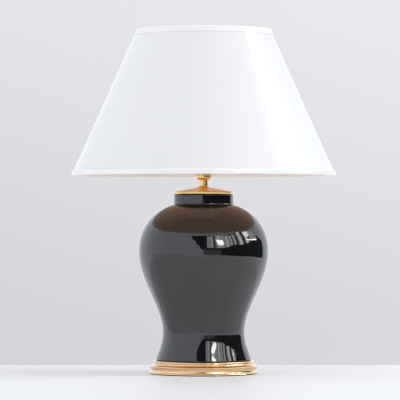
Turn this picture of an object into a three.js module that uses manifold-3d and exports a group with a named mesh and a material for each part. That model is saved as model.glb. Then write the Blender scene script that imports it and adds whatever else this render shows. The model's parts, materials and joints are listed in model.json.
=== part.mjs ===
// A table lamp: a glazed baluster jar on a cast brass plinth, a brass cap and neck, a screw lampholder with a turn
// switch, a wire shade carrier and a hardback empire shade held by a finial.
// Millimetres, +Z up, the origin on the table under the lamp's axis; the cord leaves at the back, towards +Y.
import * as THREE from "three";
import { mergeVertices } from "three/addons/utils/BufferGeometryUtils.js";
import Module from "manifold-3d";

const wasm = await Module();
wasm.setup();

// ---- Driving dimensions ------------------------------------------------------------------------------------------

const GAP = 0.3; // between pieces that touch on round or sloping faces
const ROD_SLIP = 0.5; // round the rod, in every hole that it passes
const SHADE_TURNS = 32; // facets round the shade
const JAR_TURNS = 24; // facets round the jar, the plinth and the cap
const HOLDER_TURNS = 16; // facets round the lampholder and the bulb
const METAL_TURNS = 12; // facets round the other metalwork

// The stack from the table up.
const FELT_T = 1.5;
const PLINTH_TOP = 27.6;
const GASKET_T = 1;
const JAR_H = 345; // foot to rim
const CAP_GASKET_T = 0.8;
const CAP_H = 14.8;
const COLLAR_H = 2.8;
const NECK_H = 12;

// The plinth.
const PLINTH_R = 114;
const PLINTH_TOP_R = 105.4;
const PLINTH_WALL = 3.6;
const PLINTH_RIM_W = 7; // the foot's width, round the recess
const WEIGHT_T = 11;

// The cord outlet.
const OUTLET_R = 3.2;
const OUTLET_LIP_R = 4.6;
const OUTLET_Z = 9.2;

// The jar.
const JAR_WALL = 6;
const JAR_FLOOR_T = 9;
const FOOT_R = 100;
const WAIST_R = 85.7;
const WAIST_RISE = 58.5; // above the foot
const BELLY_R = 136;
const BELLY_RISE = 226.5; // above the foot
const NECK_RING_R = 62.3;
const NECK_RING_H = 20.6;

// The cap, its plug and the neck.
const CAP_SHEET_T = 1.2;
const CAP_EDGE_H = 5.6;
const COLLAR_R = 11;
const NECK_R = 8.8;

// The rod and its fasteners.
const ROD_R = 4.9;
const ROD_BORE_R = 2.7;
const NUT_WALL = 3.3; // across the flats, beyond the rod
const NUT_T = 6;
const LOCK_NUT_T = 4.5;
const WASHER_R = 16;
const WASHER_T = 2;

// The lampholder.
const THREAD_R = 13.1; // the bulb's screw cap
const THREAD_SLIP = 0.35;
const SCREW_SHELL_T = 0.5;
const LINER_T = 0.9;
const SHELL_WALL = 0.9;
const SHELL_H = 60;
const CUP_WALL = 1;
const CUP_H = 23;
const SEAT_RISE = 35; // the shell's flange above its foot

// The turn switch.
const SWITCH_RISE = 28; // its axis above the cup's underside
const SHAFT_R = 2;
const ROTOR_R = 4.6;
const KNOB_R = 6.5;
const KNOB_T = 11;

// The shade carrier.
const WIRE_R = 1.5;
const CARRIER_H = 237; // base ring to crown
const CARRIER_HALF_W = 60;
const CARRIER_RING_T = 2;
const CARRIER_RING_W = 8.8;
const CLAMP_T = 8;
const STUD_R = 3;
const STUD_H = 17;

// The shade.
const SHADE_LOW_R = 275.8;
const SHADE_TOP_R = 139.3;
const SHADE_H = 305.6;
const SHADE_HANG = 9; // its lower edge above the cup's underside
const SHEET_T = 0.8;
const HEM_T = 0.8;
const HEM_H = 12.3;
const LOW_HEM_PROUD = [0.6, 3.7]; // beyond the cover, at the shade's edge and at the hem's other end
const TOP_HEM_PROUD = [2.5, 1.3];
const RING_WIRE_R = 2;
const HUB_R = 11;
const HUB_T = 2.4;
const ARMS = 3;
const FINIAL_H = 21;
const FINIAL_BALL_R = 6.8;

// The bulb.
const BULB_R = 30;
const BULB_H = 100;

// ---- Helpers -----------------------------------------------------------------------------------------------------

const at = (r, z) => new THREE.Vector2(r, z);

// A solid turned round the Z axis. A profile that doesn't start and end on the axis is closed on itself.
function turned(profile, turns = METAL_TURNS) {
  const outline = THREE.ShapeUtils.area(profile) > 0 ? [...profile] : [...profile].reverse();
  if (outline.some((p) => p.x === 0)) {
    while (outline[0].x !== 0 || outline.at(-1).x !== 0) outline.push(outline.shift());
  } else {
    outline.push(outline[0].clone());
  }
  return new THREE.LatheGeometry(outline, turns).rotateX(Math.PI / 2);
}

const ring = (inner, outer, low, high, turns) =>
  turned([at(inner, low), at(outer, low), at(outer, high), at(inner, high)], turns);

const disc = (r, low, high, turns) => turned([at(0, low), at(r, low), at(r, high), at(0, high)], turns);

// Points along a Bezier curve, without its first point.
const bend = (from, a, b, to, steps) => new THREE.CubicBezierCurve(from, a, b, to).getPoints(steps).slice(1);

// Points along a circle's arc about (r, z), from one angle to another.
const arc = (r, z, radius, from, to, steps) =>
  new THREE.EllipseCurve(r, z, radius, radius, from, to, to < from).getPoints(steps);

// A flat outline extruded up from low to high.
const prism = (shape, low, high) =>
  new THREE.ExtrudeGeometry(shape, { depth: high - low, bevelEnabled: false }).translate(0, 0, low);

// A closed outline whose radius repeats the given list as it goes round.
function lobed(radii, repeats) {
  const count = radii.length * repeats;
  const points = [...Array(count).keys()].map((k) => {
    const turn = (2 * Math.PI * k) / count;
    return at(radii[k % radii.length] * Math.cos(turn), radii[k % radii.length] * Math.sin(turn));
  });
  return new THREE.Shape(points);
}

// A round wire along a curve.
const wire = (curve, r, steps) =>
  new THREE.ExtrudeGeometry(lobed([r], 8), { steps, extrudePath: curve, bevelEnabled: false });

// A solid turned about Z, laid along +X or +Y from the axis.
const alongX = (geometry) => geometry.rotateY(Math.PI / 2);
const alongY = (geometry) => geometry.rotateX(-Math.PI / 2);

function solidOf(geometry) {
  const bare = geometry.clone();
  bare.deleteAttribute("normal");
  bare.deleteAttribute("uv");
  const merged = mergeVertices(bare, 1e-4);
  return new wasm.Manifold(
    new wasm.Mesh({
      numProp: 3,
      vertProperties: new Float32Array(merged.attributes.position.array),
      triVerts: new Uint32Array(merged.index.array),
    }),
  );
}

function geometryOf(solid) {
  const mesh = solid.getMesh();
  return new THREE.BufferGeometry()
    .setAttribute("position", new THREE.BufferAttribute(mesh.vertProperties, 3))
    .setIndex(new THREE.BufferAttribute(mesh.triVerts, 1));
}

const cut = (geometry, ...tools) =>
  geometryOf(tools.reduce((solid, tool) => solid.subtract(solidOf(tool)), solidOf(geometry)));

const common = (geometry, other) => geometryOf(solidOf(geometry).intersect(solidOf(other)));

// ---- Materials ---------------------------------------------------------------------------------------------------

const finish = (color, roughness, metalness) => new THREE.MeshStandardMaterial({ color, roughness, metalness });
const GLAZE = finish(0x111214, 0.05, 0);
const GILT = finish(0xd9a866, 0.35, 1);
const BRASS = finish(0xe0a458, 0.18, 1);
const STEEL = finish(0x9a9ca0, 0.4, 1);
const IRON = finish(0x3a3a3c, 0.7, 0.6);
const FELT = finish(0x2a2c2b, 0.95, 0);
const RUBBER = finish(0x141414, 0.8, 0);
const BEECH = finish(0xc9a272, 0.7, 0);
const PORCELAIN = finish(0xf0ede6, 0.3, 0);
const FIBRE = finish(0x3b3531, 0.9, 0);
const PHENOLIC = finish(0x1a1817, 0.3, 0);
const SHADE_WHITE = finish(0xf4f5f8, 0.15, 0);
const LINING = finish(0xe2bfa4, 0.5, 0);
const OPAL = finish(0xf7f4ec, 0.25, 0);
const NICKEL = finish(0xc8c8c4, 0.25, 1);
const CIRCUIT = finish(0xe8e9e6, 0.5, 0);

const lamp = new THREE.Group();

function piece(name, geometry, material) {
  const mesh = new THREE.Mesh(geometry, material);
  mesh.name = name;
  lamp.add(mesh);
}

// ---- Levels and fits worked out from the driving dimensions ------------------------------------------------------

const holeR = ROD_R + ROD_SLIP;
const plinthCeiling = PLINTH_TOP - PLINTH_WALL;
const recessR = PLINTH_R - PLINTH_RIM_W;
const weightFoot = plinthCeiling - WEIGHT_T;
const washerFoot = weightFoot - WASHER_T;
const rodFoot = washerFoot - NUT_T - 1.5;
const jarFoot = PLINTH_TOP + GASKET_T;
const jarRim = jarFoot + JAR_H;
const capSeat = jarRim + CAP_GASKET_T;
const capTop = capSeat + CAP_H;
const neckFoot = capTop + COLLAR_H;
const cupFoot = neckFoot + NECK_H;
const cupFloor = cupFoot + CUP_WALL;
const cupTop = cupFoot + CUP_H;

// The lampholder grows outwards from the bulb's thread.
const screwShellR = THREAD_R + THREAD_SLIP;
const linerInR = screwShellR + SCREW_SHELL_T + 0.35;
const linerR = linerInR + LINER_T;
const shellR = linerR + 0.4 + SHELL_WALL;
const cupR = shellR + 0.2;
const porcelainR = linerInR - 1.1;

// ---- The plinth and what it holds --------------------------------------------------------------------------------

// Foot lip, scotia, middle fillet, cavetto and top bead, from the table up.
function plinthOutline() {
  const beadR = 2.2;
  const middle = PLINTH_R - 1;
  const footTop = at(PLINTH_R - 0.6, FELT_T + 2.2);
  const scotiaTop = at(middle - 1.8, 13.4);
  const cavettoFoot = at(middle - 1.6, 17.6);
  const bead = arc(PLINTH_TOP_R - beadR, PLINTH_TOP - beadR, beadR, -Math.PI / 2, Math.PI / 2, 6);
  return [
    at(PLINTH_R - 1.6, FELT_T),
    at(PLINTH_R, FELT_T + 0.8),
    footTop,
    ...bend(footTop, at(PLINTH_R - 5.2, FELT_T + 4), at(PLINTH_R - 4.6, 11.6), scotiaTop, 5),
    at(middle, 14.6),
    at(middle, 16.7),
    cavettoFoot,
    ...bend(cavettoFoot, at(middle - 6.4, 18.2), at(bead[0].x + 0.8, 20), bead[0], 4),
    ...bead.slice(1),
  ];
}

const plinthBlank = turned(
  [
    ...plinthOutline(),
    at(holeR, PLINTH_TOP),
    at(holeR, plinthCeiling),
    at(recessR - 8, plinthCeiling),
    at(recessR - 7, 19),
    at(recessR, 14),
    at(recessR, FELT_T),
  ],
  JAR_TURNS,
);
const outletNeckR = OUTLET_LIP_R - 0.7;
const outletHole = alongY(disc(outletNeckR + GAP, recessR - 7, PLINTH_R + 6)).translate(0, 0, OUTLET_Z);
piece("base_plinth", cut(plinthBlank, outletHole), GILT);
piece("felt_pad", disc(PLINTH_R - 5, 0, FELT_T, JAR_TURNS), FELT);

const weightR = recessR - 12;
piece(
  "base_weight",
  turned(
    [
      at(holeR, weightFoot),
      at(weightR - 2, weightFoot),
      at(weightR, weightFoot + 2),
      at(weightR, plinthCeiling),
      at(holeR, plinthCeiling),
    ],
    JAR_TURNS,
  ),
  IRON,
);
piece("base_washer", ring(ROD_R + GAP, WASHER_R, washerFoot, weightFoot), STEEL);

// A hexagonal nut on the rod.
const nutCornerR = (ROD_R + NUT_WALL) / Math.cos(Math.PI / 6);
const hexNut = (low, high) =>
  cut(prism(lobed([nutCornerR], 6), low, high), disc(ROD_R + GAP, low - 1, high + 1));
piece("base_nut", hexNut(washerFoot - NUT_T, washerFoot), STEEL);

// The rubber outlet sits in the plinth's wall with a lip on either side.
const outletOut = PLINTH_R - 1.4;
const outletIn = recessR - 0.6;
const outletLip = 1.4;
piece(
  "cord_outlet",
  alongY(
    turned([
      at(OUTLET_R, outletIn - outletLip),
      at(OUTLET_LIP_R, outletIn - outletLip),
      at(OUTLET_LIP_R, outletIn),
      at(outletNeckR, outletIn),
      at(outletNeckR, outletOut),
      at(OUTLET_LIP_R, outletOut),
      at(OUTLET_LIP_R - 0.4, outletOut + outletLip),
      at(OUTLET_R, outletOut + outletLip),
    ]),
  ).translate(0, 0, OUTLET_Z),
  RUBBER,
);

// ---- The jar -----------------------------------------------------------------------------------------------------

const neckFootZ = jarRim - NECK_RING_H;

// From the foot through the waist and the belly to the neck ring, with the same number of steps in each stretch.
function jarOutline(steps) {
  const foot = at(FOOT_R, jarFoot + 1.2);
  const waist = at(WAIST_R, jarFoot + WAIST_RISE);
  const belly = at(BELLY_R, jarFoot + BELLY_RISE);
  const neck = at(NECK_RING_R + 0.4, neckFootZ);
  const footRise = waist.y - foot.y;
  const bellyRise = belly.y - waist.y;
  const neckRise = neck.y - belly.y;
  return [
    foot,
    ...bend(foot, at(foot.x - 6, foot.y + 0.32 * footRise), at(waist.x, waist.y - 0.38 * footRise), waist, steps),
    ...bend(
      waist,
      at(waist.x, waist.y + 0.304 * bellyRise),
      at(belly.x, belly.y - 0.369 * bellyRise),
      belly,
      steps,
    ),
    ...bend(
      belly,
      at(belly.x, belly.y + 0.566 * neckRise),
      at(neck.x + 35, neck.y - 0.086 * neckRise),
      neck,
      steps,
    ),
  ];
}

// An outline moved inwards by a wall, measured square to it.
function inset(outline, wall) {
  return outline.map((p, i) => {
    const before = outline[Math.max(i - 1, 0)];
    const after = outline[Math.min(i + 1, outline.length - 1)];
    const along = after.clone().sub(before).normalize();
    return at(p.x - wall * along.y, p.y + wall * along.x);
  });
}

const jarBoreR = NECK_RING_R - JAR_WALL;
const jarFloor = jarFoot + JAR_FLOOR_T;
const jarInside = inset(jarOutline(4), JAR_WALL)
  .filter((p) => p.y > jarFloor + 2 && p.x > jarBoreR + 2)
  .reverse();
piece(
  "jar_body",
  turned(
    [
      at(holeR + 1, jarFoot),
      at(FOOT_R - 1.4, jarFoot),
      ...jarOutline(5),
      at(NECK_RING_R, neckFootZ + 1.4),
      at(NECK_RING_R, jarRim - 1.6),
      at(NECK_RING_R - 1.6, jarRim),
      at(jarBoreR + 1, jarRim),
      at(jarBoreR, jarRim - 1),
      at(jarBoreR, jarInside[0].y + 3),
      ...jarInside,
      at(jarInside.at(-1).x - 4, jarFloor),
      at(holeR + 1, jarFloor),
    ],
    JAR_TURNS,
  ),
  GLAZE,
);
piece("jar_gasket", ring(FOOT_R - 15, FOOT_R - 1.6, PLINTH_TOP, jarFoot, JAR_TURNS), RUBBER);

// ---- The cap, its plug and the neck ------------------------------------------------------------------------------

const capEdgeR = NECK_RING_R + 1.1;
const coneFoot = capSeat + CAP_EDGE_H;
const capUnder = capTop - CAP_SHEET_T - 0.6; // the sheet's underside round the rod
const capLipR = jarBoreR + 0.8; // the folded edge that rests on the gasket
piece("cap_gasket", ring(jarBoreR + 1.2, NECK_RING_R - 1.6, jarRim, capSeat, JAR_TURNS), RUBBER);
piece(
  "vase_cap",
  turned(
    [
      at(holeR, capTop),
      at(COLLAR_R + 0.6, capTop),
      at(COLLAR_R + 1.8, capTop - 0.7),
      at(capEdgeR - 2.2, coneFoot),
      at(capEdgeR, coneFoot - 1),
      at(capEdgeR - 0.1, coneFoot - 2.2),
      at(capEdgeR - 0.8, capSeat + 0.7),
      at(capEdgeR - 1.5, capSeat),
      at(capLipR, capSeat),
      at(capLipR, capSeat + CAP_SHEET_T),
      at(capEdgeR - 2.6, capSeat + CAP_SHEET_T + 0.6),
      at(capEdgeR - 2.2, coneFoot - 2.4),
      at(capEdgeR - 4, coneFoot - CAP_SHEET_T),
      at(COLLAR_R, capUnder),
      at(holeR, capUnder),
    ],
    JAR_TURNS,
  ),
  BRASS,
);
const plugR = jarBoreR - 0.6;
const plugTop = capUnder - 1.6;
piece(
  "cap_centring_plug",
  turned(
    [
      at(holeR, jarRim - 12),
      at(plugR - 2, jarRim - 12),
      at(plugR, jarRim - 10),
      at(plugR, capSeat + 2),
      at(COLLAR_R + 4, plugTop),
      at(holeR, plugTop),
    ],
    JAR_TURNS,
  ),
  BEECH,
);
piece(
  "neck_collar",
  turned([
    at(holeR, capTop),
    at(COLLAR_R - 0.2, capTop),
    at(COLLAR_R, capTop + 0.5),
    at(COLLAR_R - 0.3, capTop + 1.3),
    at(COLLAR_R - 1.4, capTop + 1.9),
    at(NECK_R + 0.3, neckFoot),
    at(holeR, neckFoot),
  ]),
  BRASS,
);
piece("neck_tube", ring(holeR, NECK_R, neckFoot, cupFoot), BRASS);

// ---- The lampholder ----------------------------------------------------------------------------------------------

const cupRound = Math.min(6.2, cupR - nutCornerR - GAP); // the cup's rounded foot clears the nut inside
const cupRim = 0.4; // the rolled rim stands this far out
piece(
  "socket_cup",
  turned(
    [
      at(holeR, cupFoot),
      ...arc(cupR - cupRound, cupFoot + cupRound, cupRound, -Math.PI / 2, 0, 4),
      at(cupR, cupTop - 2),
      at(cupR + cupRim, cupTop - 1.4),
      at(cupR + cupRim, cupTop),
      at(cupR - CUP_WALL, cupTop),
      ...arc(cupR - cupRound, cupFoot + cupRound, cupRound - CUP_WALL, 0, -Math.PI / 2, 3),
      at(holeR, cupFloor),
    ],
    HOLDER_TURNS,
  ),
  BRASS,
);
piece("cup_lock_nut", hexNut(cupFloor, cupFloor + LOCK_NUT_T), STEEL);
piece("threaded_rod", ring(ROD_BORE_R, ROD_R, rodFoot, cupFloor + LOCK_NUT_T + 2), STEEL);

const shellFoot = cupTop - 11;
const shellTop = shellFoot + SHELL_H;
const spigotR = cupR - CUP_WALL - GAP; // the part of the shell that slips inside the cup
const seatZ = shellFoot + SEAT_RISE;
const seatR = shellR + 2.1;
const switchZ = cupFoot + SWITCH_RISE;
const switchHoleR = SHAFT_R + 2.2;
const switchWay = alongX(disc(switchHoleR, 5, cupR + 6)).translate(0, 0, switchZ);
const shellBlank = turned(
  [
    at(spigotR, shellFoot),
    at(spigotR, cupTop + GAP),
    at(shellR, cupTop + GAP),
    at(shellR, seatZ - 1.6),
    at(seatR, seatZ - 1.2),
    at(seatR, seatZ),
    at(shellR, seatZ),
    at(shellR, shellTop - 0.6),
    at(shellR - 0.5, shellTop),
    at(shellR - SHELL_WALL, shellTop),
    at(shellR - SHELL_WALL, cupTop + 2),
    at(spigotR - SHELL_WALL, cupTop + 1),
    at(spigotR - SHELL_WALL, shellFoot),
  ],
  HOLDER_TURNS,
);
piece("socket_shell", cut(shellBlank, switchWay), BRASS);
const linerBlank = ring(linerInR, linerR, cupTop + 3, shellTop - 5, HOLDER_TURNS);
piece("socket_liner", cut(linerBlank, switchWay), FIBRE);

// The porcelain body is bored for the switch and recessed for its two terminal screws.
const porcelainFoot = cupFloor + LOCK_NUT_T + 9;
const porcelainTop = porcelainFoot + 24;
const rotorStart = -3.6;
const rotorWay = alongX(disc(ROTOR_R + 0.5, rotorStart - 0.8, porcelainR + 2)).translate(0, 0, switchZ);
const terminalZ = porcelainFoot + 6;
const TERMINAL_R = 3;
const terminalDepth = porcelainR - 2.8;
const SIDES = { live: 0, neutral: Math.PI };
const terminalWays = Object.values(SIDES).map((turn) =>
  alongY(disc(TERMINAL_R + 0.4, terminalDepth, porcelainR + 2)).rotateZ(turn).translate(0, 0, terminalZ),
);
piece(
  "socket_body",
  cut(disc(porcelainR, porcelainFoot, porcelainTop, HOLDER_TURNS), rotorWay, ...terminalWays),
  PORCELAIN,
);
for (const [wireName, turn] of Object.entries(SIDES)) {
  const headTop = porcelainR - 0.6;
  const slot = new THREE.BoxGeometry(4 * TERMINAL_R, 0.8, 1.2).translate(0, 0, headTop);
  const head = alongY(cut(disc(TERMINAL_R, terminalDepth + 0.2, headTop), slot)).rotateZ(turn);
  piece(`terminal_screw_${wireName}`, head.translate(0, 0, terminalZ), turn ? NICKEL : BRASS);
}
piece(
  "screw_shell",
  ring(screwShellR, screwShellR + SCREW_SHELL_T, porcelainTop, shellTop - 8, HOLDER_TURNS),
  NICKEL,
);

// The centre contact is a sprung strip, bent up under the bulb's tip.
const CONTACT_RISE = 3.6;
const STRIP_T = 0.6;
const STRIP_W = 5;
const contactLine = new THREE.Shape([
  at(-8, 0),
  at(-4.4, 0),
  at(-1.6, CONTACT_RISE - STRIP_T),
  at(2.4, CONTACT_RISE - STRIP_T),
  at(2.4, CONTACT_RISE),
  at(-2, CONTACT_RISE),
  at(-4.8, STRIP_T),
  at(-8, STRIP_T),
]);
piece(
  "centre_contact",
  prism(contactLine, -STRIP_W / 2, STRIP_W / 2).rotateX(Math.PI / 2).translate(0, 0, porcelainTop),
  BRASS,
);

// ---- The turn switch ---------------------------------------------------------------------------------------------

const rotorEnd = porcelainR - 3;
const rotorSide = ROTOR_R * Math.SQRT2 - 0.4;
const bushingStart = linerInR - 0.6;
const bushingEnd = cupR + 3;
const knobStart = bushingEnd + 2;
const knobEnd = knobStart + KNOB_T;
const shaftEnd = knobEnd - 3;
const rotorLength = rotorEnd - rotorStart;
piece(
  "switch_rotor",
  new THREE.BoxGeometry(rotorLength, rotorSide, rotorSide).translate(rotorStart + rotorLength / 2, 0, switchZ),
  PHENOLIC,
);
piece("switch_shaft", alongX(disc(SHAFT_R, rotorEnd, shaftEnd)).translate(0, 0, switchZ), STEEL);
const switchBushing = turned([
  at(SHAFT_R + GAP, bushingStart),
  at(switchHoleR - GAP, bushingStart),
  at(switchHoleR - GAP, cupR + 0.6),
  at(switchHoleR + 1, cupR + 0.6),
  at(switchHoleR + 1, bushingEnd),
  at(SHAFT_R + GAP, bushingEnd),
]);
piece("switch_bushing", alongX(switchBushing).translate(0, 0, switchZ), BRASS);

// A fluted knob, domed at its end, with a blind hole for the shaft.
function knob() {
  const fluted = prism(lobed([KNOB_R, KNOB_R - 0.2, KNOB_R - 0.8, KNOB_R - 0.2], 8), knobStart, knobEnd);
  const dome = turned([
    at(0, knobStart),
    at(KNOB_R + 1, knobStart),
    at(KNOB_R + 1, knobEnd - 2.5),
    at(KNOB_R - 1.6, knobEnd),
    at(0, knobEnd),
  ]);
  return cut(common(fluted, dome), disc(SHAFT_R + GAP, knobStart - 1, shaftEnd + GAP));
}
piece("switch_knob", alongX(knob()).translate(0, 0, switchZ), PHENOLIC);

// ---- The shade carrier -------------------------------------------------------------------------------------------

const ringTop = seatZ + CARRIER_RING_T;
const carrierRingR = shellR + CARRIER_RING_W;
piece("carrier_base_ring", ring(shellR + GAP, carrierRingR, seatZ, ringTop, HOLDER_TURNS), BRASS);

// The clamp ring, scalloped for fingers, screws down over the carrier's ring.
const bowFootX = carrierRingR - WIRE_R - 0.7;
const clampR = bowFootX - WIRE_R - 0.8;
const scallops = lobed([clampR - 0.5, clampR - 0.15, clampR, clampR - 0.15], 12);
const clampTop = ringTop + CLAMP_T;
piece(
  "carrier_clamp_ring",
  cut(prism(scallops, ringTop, clampTop), disc(shellR + GAP, seatZ, clampTop + 2, HOLDER_TURNS)),
  PORCELAIN,
);

// The bow is one wire, up one side and down the other: half-widths at shares of its height.
const bowRise = CARRIER_H - WIRE_R;
const bowSide = [
  [bowFootX, 0],
  [bowFootX, 0.035],
  [CARRIER_HALF_W * 0.9, 0.2],
  [CARRIER_HALF_W, 0.4],
  [CARRIER_HALF_W * 0.96, 0.6],
  [CARRIER_HALF_W * 0.74, 0.82],
  [CARRIER_HALF_W * 0.3, 0.985],
].map(([x, share]) => new THREE.Vector3(x, 0, ringTop + share * bowRise));
const bowOtherSide = bowSide.map((p) => new THREE.Vector3(-p.x, 0, p.z)).reverse();
const bowCurve = new THREE.CatmullRomCurve3([
  ...bowSide,
  new THREE.Vector3(0, 0, ringTop + bowRise),
  ...bowOtherSide,
]);
piece("carrier_bow", wire(bowCurve, WIRE_R, 36), BRASS);

const crownZ = ringTop + CARRIER_H;
const crownTop = crownZ + GAP + 2;
const studTop = crownTop + STUD_H;
piece(
  "carrier_stud",
  turned([
    at(0, crownZ + GAP),
    at(2.2 * STUD_R, crownZ + GAP),
    at(2.2 * STUD_R, crownTop),
    at(STUD_R, crownTop),
    at(STUD_R, studTop - 0.6),
    at(STUD_R - 0.6, studTop),
    at(0, studTop),
  ]),
  BRASS,
);

// ---- The shade ---------------------------------------------------------------------------------------------------

const shadeLow = cupFoot + SHADE_HANG;
const shadeHigh = shadeLow + SHADE_H;
const taper = (SHADE_LOW_R - SHADE_TOP_R) / SHADE_H;
const coneR = (z) => SHADE_LOW_R - taper * (z - shadeLow); // the cover's outer face
const foldIn = 3.4; // from a shade's edge to the sheets' edge inside the hem

// One sheet of the hardback, set in from the cover's outer face.
function sheet(set) {
  const low = shadeLow + foldIn;
  const high = shadeHigh - foldIn;
  return turned(
    [
      at(coneR(low) - set - SHEET_T, low),
      at(coneR(low) - set, low),
      at(coneR(high) - set, high),
      at(coneR(high) - set - SHEET_T, high),
    ],
    SHADE_TURNS,
  );
}
piece("shade_cover", sheet(0), SHADE_WHITE);
piece("shade_lining", sheet(SHEET_T + GAP), LINING);

// Each rim's wire lies inside the lining, and the hem folds round the wire and both sheets.
const wireSet = 2 * (SHEET_T + GAP) + RING_WIRE_R + 0.6;
const wireRise = foldIn + RING_WIRE_R + 0.8;
const topWireZ = shadeHigh - wireRise;
const rimWire = (z) => turned(arc(coneR(z) - wireSet, z, RING_WIRE_R, 0, 2 * Math.PI, 5).slice(1), SHADE_TURNS);
piece("shade_ring_bottom", rimWire(shadeLow + wireRise), STEEL);
piece("shade_ring_top", rimWire(topWireZ), STEEL);

// The hem at an edge of the shade; up is 1 for the lower hem and -1 for the upper one. Its face stands nearly upright.
function hem(edge, up, [proudAtEdge, proudAtEnd]) {
  const fold = (set, rise) => at(coneR(edge + up * rise) - set, edge + up * rise);
  const insideSet = wireSet + RING_WIRE_R + GAP;
  return turned(
    [
      fold(-GAP, HEM_H),
      fold(-GAP - HEM_T, HEM_H - 0.5),
      fold(-Math.max(proudAtEnd - 0.8, GAP + HEM_T), HEM_H - 2),
      fold(-proudAtEnd, HEM_H - 3.5),
      fold(-proudAtEdge, 1.6),
      fold(-proudAtEdge + 1.7, 0),
      fold(insideSet - 1.4, 0),
      fold(insideSet + HEM_T, 1.6),
      fold(insideSet + HEM_T, HEM_H - 2.3),
      fold(insideSet, HEM_H - 2.3),
      fold(insideSet, foldIn - GAP),
      fold(-GAP, foldIn - GAP),
    ],
    SHADE_TURNS,
  );
}
piece("shade_hem_bottom", hem(shadeLow, 1, LOW_HEM_PROUD), SHADE_WHITE);

const washerTop = crownTop + 1;
const hubTop = washerTop + HUB_T;
piece("shade_washer", ring(STUD_R + GAP, 2.6 * STUD_R, crownTop, washerTop), NICKEL);
piece("spider_hub", ring(STUD_R + GAP, HUB_R, washerTop, hubTop), STEEL);

// The arms rise from the hub to the top ring's wire, and the upper hem is notched where they pass.
const armFoot = HUB_R + GAP;
const ringFlat = Math.cos(Math.PI / SHADE_TURNS); // a facet's middle is this much nearer the axis
const armEnd = (coneR(topWireZ) - wireSet - RING_WIRE_R) * ringFlat - GAP;
const armZ = washerTop + HUB_T / 2;
const armCurve = new THREE.CatmullRomCurve3([
  new THREE.Vector3(armFoot, 0, armZ),
  new THREE.Vector3(armFoot + 12, 0, armZ),
  new THREE.Vector3(armEnd * 0.55, 0, (armZ + topWireZ) / 2),
  new THREE.Vector3(armEnd - 14, 0, topWireZ - 1),
  new THREE.Vector3(armEnd, 0, topWireZ),
]);
const notchW = 2 * WIRE_R + 1.2;
const notches = [];
for (let k = 0; k < ARMS; k++) {
  const turn = Math.PI / 2 + (2 * Math.PI * k) / ARMS;
  piece(`spider_arm_${k + 1}`, wire(armCurve, WIRE_R, 10).rotateZ(turn), STEEL);
  const notch = new THREE.BoxGeometry(12, notchW, HEM_H).translate(armEnd - 4, 0, topWireZ + notchW / 2 - HEM_H / 2);
  notches.push(notch.rotateZ(turn));
}
piece("shade_hem_top", cut(hem(shadeHigh, -1, TOP_HEM_PROUD), ...notches), SHADE_WHITE);

// ---- The finial --------------------------------------------------------------------------------------------------

const finialTop = hubTop + FINIAL_H;
const finialNeckR = STUD_R + 1.6;
const finialBlank = turned([
  at(0, hubTop),
  at(finialNeckR + 3.4, hubTop),
  at(finialNeckR + 3.7, hubTop + 1),
  at(finialNeckR + 2.8, hubTop + 2.2),
  at(finialNeckR + 0.4, hubTop + 3.4),
  at(finialNeckR, hubTop + 5.6),
  ...arc(0, finialTop - FINIAL_BALL_R, FINIAL_BALL_R, -0.85, Math.PI / 2, 7).slice(0, -1),
  at(0, finialTop),
]);
piece("finial", cut(finialBlank, disc(STUD_R + GAP, hubTop - 1, studTop + GAP)), BRASS);

// ---- The bulb ----------------------------------------------------------------------------------------------------

const bulbFoot = porcelainTop + CONTACT_RISE + GAP;
const bulbTop = bulbFoot + BULB_H;
const bulbCapFoot = bulbFoot + 5;
const bulbCapTop = bulbFoot + 26;
const domeZ = bulbTop - BULB_R;
const domeFoot = domeZ - BULB_R / 3;
const domeFootR = Math.sqrt(BULB_R ** 2 - (BULB_R / 3) ** 2);
const tipTop = bulbFoot + 1.6;
piece("bulb_tip_contact", disc(4.6, bulbFoot, tipTop), NICKEL);
piece(
  "bulb_insulator",
  turned([at(0, tipTop), at(4.8, tipTop), at(10.6, bulbCapFoot - 0.2), at(10.6, bulbCapFoot), at(0, bulbCapFoot)]),
  PHENOLIC,
);
piece("bulb_screw_cap", disc(THREAD_R, bulbCapFoot, bulbCapTop, HOLDER_TURNS), NICKEL);
const housingFoot = at(THREAD_R + 0.6, bulbCapTop);
const housingTop = at(domeFootR, domeFoot);
const housingRise = domeFoot - bulbCapTop;
piece(
  "bulb_housing",
  turned(
    [
      at(0, bulbCapTop),
      housingFoot,
      ...bend(
        housingFoot,
        at(THREAD_R + 2, bulbCapTop + 0.41 * housingRise),
        at(domeFootR - 4, domeFoot - 0.41 * housingRise),
        housingTop,
        5,
      ),
      at(domeFootR - 1.6, domeFoot),
      at(domeFootR - 3.4, domeFoot - 3),
      at(0, domeFoot - 3),
    ],
    HOLDER_TURNS,
  ),
  PORCELAIN,
);
piece("led_board", disc(domeFootR - 4, domeFoot - 3, domeFoot - 1.4, HOLDER_TURNS), CIRCUIT);
const DOME_T = 1.2;
const domeStart = Math.asin((domeFoot + GAP - domeZ) / BULB_R);
const domeInside = arc(0, domeZ, BULB_R - DOME_T, Math.PI / 2, domeStart, 7);
piece(
  "bulb_dome",
  turned(
    [
      ...arc(0, domeZ, BULB_R, domeStart, Math.PI / 2, 8).slice(0, -1),
      at(0, bulbTop),
      at(0, bulbTop - DOME_T),
      ...domeInside.slice(1),
    ],
    HOLDER_TURNS,
  ),
  OPAL,
);

export default lamp;
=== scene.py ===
"""The looks of a jar table lamp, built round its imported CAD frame.

Every piece but the shade's seam stands for one CAD node, and takes its place and its sizes from that node.
Lengths inside the helpers are millimetres, and they become metres when a mesh is made. The lamp's axis is Z
and the cord outlet faces +Y.
"""

import json
from math import cos, degrees, hypot, pi, radians, sin, tan

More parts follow.
